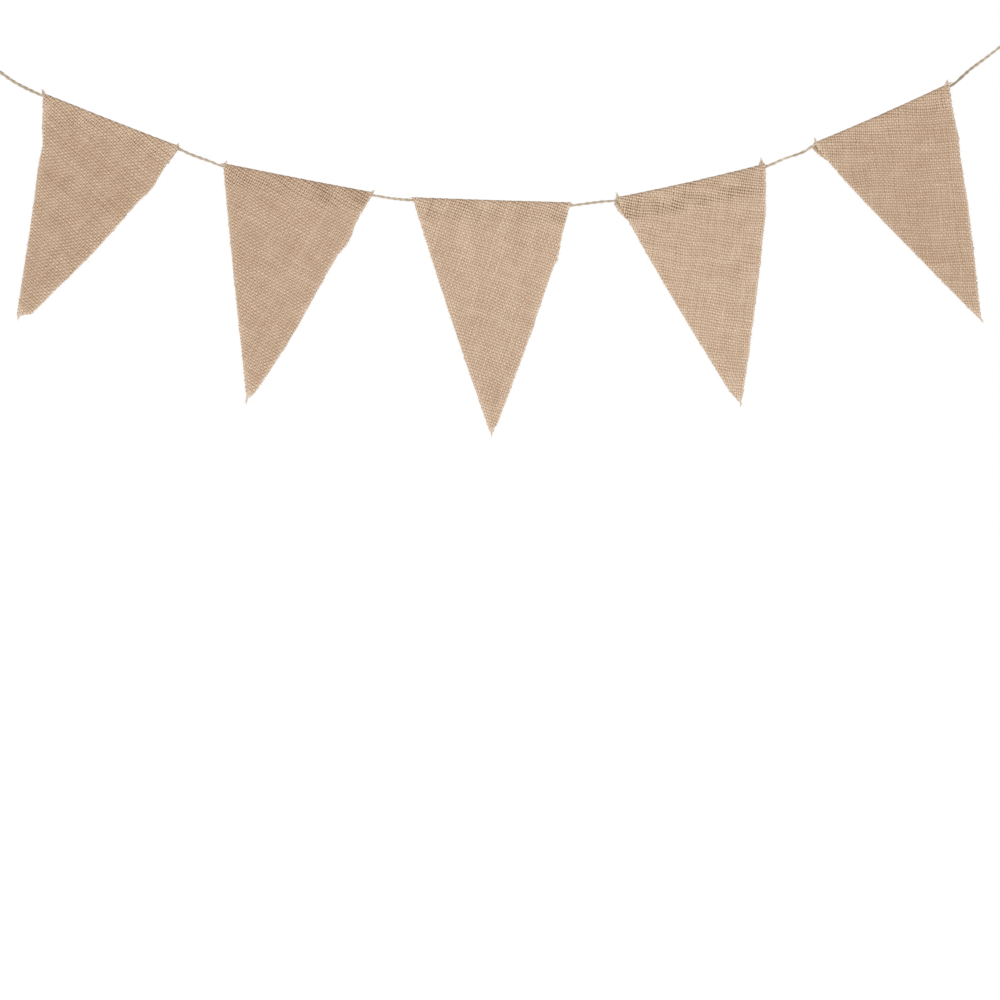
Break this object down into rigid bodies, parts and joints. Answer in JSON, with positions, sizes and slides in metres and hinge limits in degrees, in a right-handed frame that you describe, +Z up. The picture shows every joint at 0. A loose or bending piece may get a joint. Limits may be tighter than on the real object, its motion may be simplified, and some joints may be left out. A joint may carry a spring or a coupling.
{
  "type": "fabric bunting",
  "caption": "String of triangular jute cloth pennants, each folded over one twine with a tied loop at each end, hung across a wall or doorway as decoration.",
  "frame": {"origin": "crown of the left hanging loop, at the middle of its twine", "axes": "+X along the garland to the right loop, +Y away from the viewer through the cloth, +Z up; the front faces -Y"},
  "size_m": [0.9691, 0.0102, 0.3781],
  "materials": {
    "jute_cloth": "coarse plain-woven jute, matt, with raw cut edges",
    "jute_twine": "loosely twisted hairy jute twine, matt"
  },
  "bodies": {
    "root": {"twine": "jute_twine", "pennant_1": "jute_cloth", "pennant_2": "jute_cloth", "pennant_3": "jute_cloth", "pennant_4": "jute_cloth", "pennant_5": "jute_cloth"}
  },
  "joints": []
}
